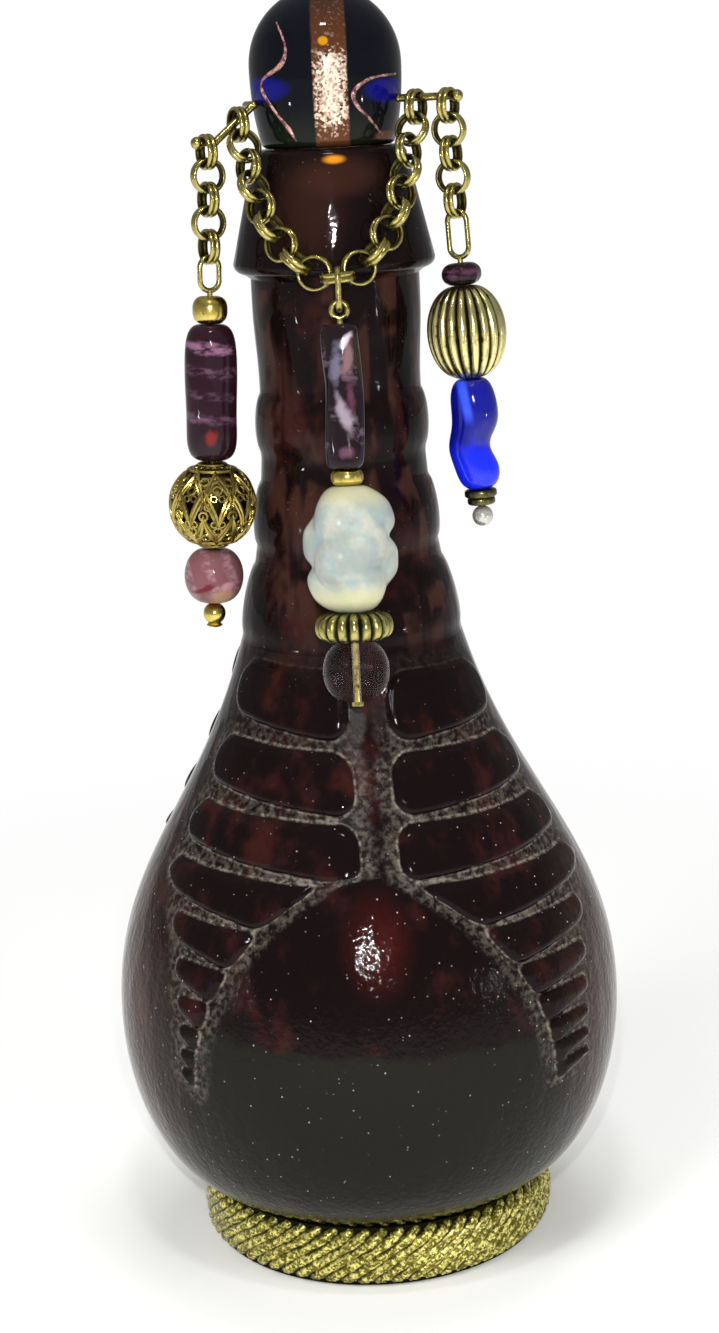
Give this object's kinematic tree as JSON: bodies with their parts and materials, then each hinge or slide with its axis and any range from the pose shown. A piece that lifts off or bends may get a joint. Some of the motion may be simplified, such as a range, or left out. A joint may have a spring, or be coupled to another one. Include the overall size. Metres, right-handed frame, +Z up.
{
  "type": "decorative glass bottle",
  "caption": "Small ribbed glass bottle with a braided foot and a lift-out cork stopper that carries a dome bead, a chain swag and hanging bead strings.",
  "frame": {"origin": "centre of the base's underside, on the bottle's axis", "axes": "+Z up along the bottle's axis; the front with the chain swag faces -Y; +X to the viewer's right"},
  "size_m": [0.0712, 0.0712, 0.1742],
  "materials": {
    "amethyst_glass": "polished pressed glass, dark amethyst brown",
    "brass_braid": "woven fine wire, olive gold",
    "cork": "natural cork",
    "brass_wire": "bright drawn brass, slightly aged",
    "cobalt_glass": "lampworked dark cobalt glass with an aventurine band",
    "cast_brass": "cast brass bead, darkened in the grooves",
    "lilac_glass": "twisted lilac and clear glass",
    "pink_glass": "pressed pale pink glass",
    "plum_glass": "pressed dark amethyst glass",
    "blue_glass": "lampworked cobalt blue glass",
    "dark_brass": "oxidised brass",
    "silver": "polished silver-plated ball",
    "opal_glass": "lampworked milky opal glass",
    "clear_glass": "clear pressed glass"
  },
  "bodies": {
    "bottle": {"bottle_glass": "amethyst_glass", "foot_braid": "brass_braid"},
    "stopper": {"cork": "cork", "stopper_pin": "brass_wire", "dome_bead": "cobalt_glass", "yoke_wire": "brass_wire", "neck_chain": "brass_wire"},
    "left_chain": {"left_chain": "brass_wire"},
    "left_string": {"left_eye_pin": "brass_wire", "left_spacer": "cast_brass", "left_tube_bead": "lilac_glass", "left_pink_bead": "pink_glass", "left_end_ball": "brass_wire"},
    "filigree_ball": {"left_filigree_ball": "cast_brass"},
    "right_chain": {"right_chain": "brass_wire"},
    "right_string": {"right_eye_pin": "brass_wire", "right_small_bead": "plum_glass", "right_blue_bead": "blue_glass", "right_cap": "dark_brass", "right_end_ball": "silver"},
    "melon_bead": {"right_melon_bead": "cast_brass"},
    "centre_link": {"centre_hook": "brass_wire"},
    "centre_string": {"centre_pin": "brass_wire", "centre_twist_bead": "lilac_glass", "centre_disc": "brass_wire", "centre_opal_bead": "opal_glass", "centre_clear_bead": "clear_glass"},
    "rondelle": {"centre_rondelle": "cast_brass"}
  },
  "joints": [
    {"name": "stopper_lift", "type": "slide", "parent": "bottle", "child": "stopper", "axis": [0, 0, 1], "range_m": [0, 0.045]},
    {"name": "left_swing_out", "type": "hinge", "parent": "stopper", "child": "left_chain", "pos_m": [-0.01572, -0.00801, 0.15022], "axis": [-0.454, 0.891, 0], "range_deg": [0, 60]},
    {"name": "left_swing_side", "type": "hinge", "parent": "left_chain", "child": "left_string", "pos_m": [-0.01612, -0.00821, 0.14123], "axis": [-0.8899, -0.4534, 0.0506], "range_deg": [-20, 20]},
    {"name": "filigree_spin", "type": "hinge", "parent": "left_string", "child": "filigree_ball", "pos_m": [-0.01764, -0.00899, 0.10754], "axis": [0.0451, 0.023, 0.9987], "continuous": true},
    {"name": "right_swing_out", "type": "hinge", "parent": "stopper", "child": "right_chain", "pos_m": [0.01551, -0.00825, 0.15462], "axis": [-0.4695, -0.8829, 0], "range_deg": [0, 60]},
    {"name": "right_swing_side", "type": "hinge", "parent": "right_chain", "child": "right_string", "pos_m": [0.01598, -0.0085, 0.14564], "axis": [0.8814, -0.4686, 0.0593], "range_deg": [-20, 20]},
    {"name": "melon_spin", "type": "hinge", "parent": "right_string", "child": "melon_bead", "pos_m": [0.01686, -0.00897, 0.12879], "axis": [-0.0524, 0.0278, 0.9982], "continuous": true},
    {"name": "centre_swing_out", "type": "hinge", "parent": "stopper", "child": "centre_link", "pos_m": [0.00038, -0.01817, 0.13721], "axis": [-1, 0, 0], "range_deg": [0, 60]},
    {"name": "centre_swing_side", "type": "hinge", "parent": "centre_link", "child": "centre_string", "pos_m": [0.00038, -0.01817, 0.13321], "axis": [0, -1, 0], "range_deg": [-20, 20]},
    {"name": "rondelle_spin", "type": "hinge", "parent": "centre_string", "child": "rondelle", "pos_m": [0.00038, -0.02261, 0.09316], "axis": [0, 0.1102, 0.9939], "continuous": true}
  ]
}
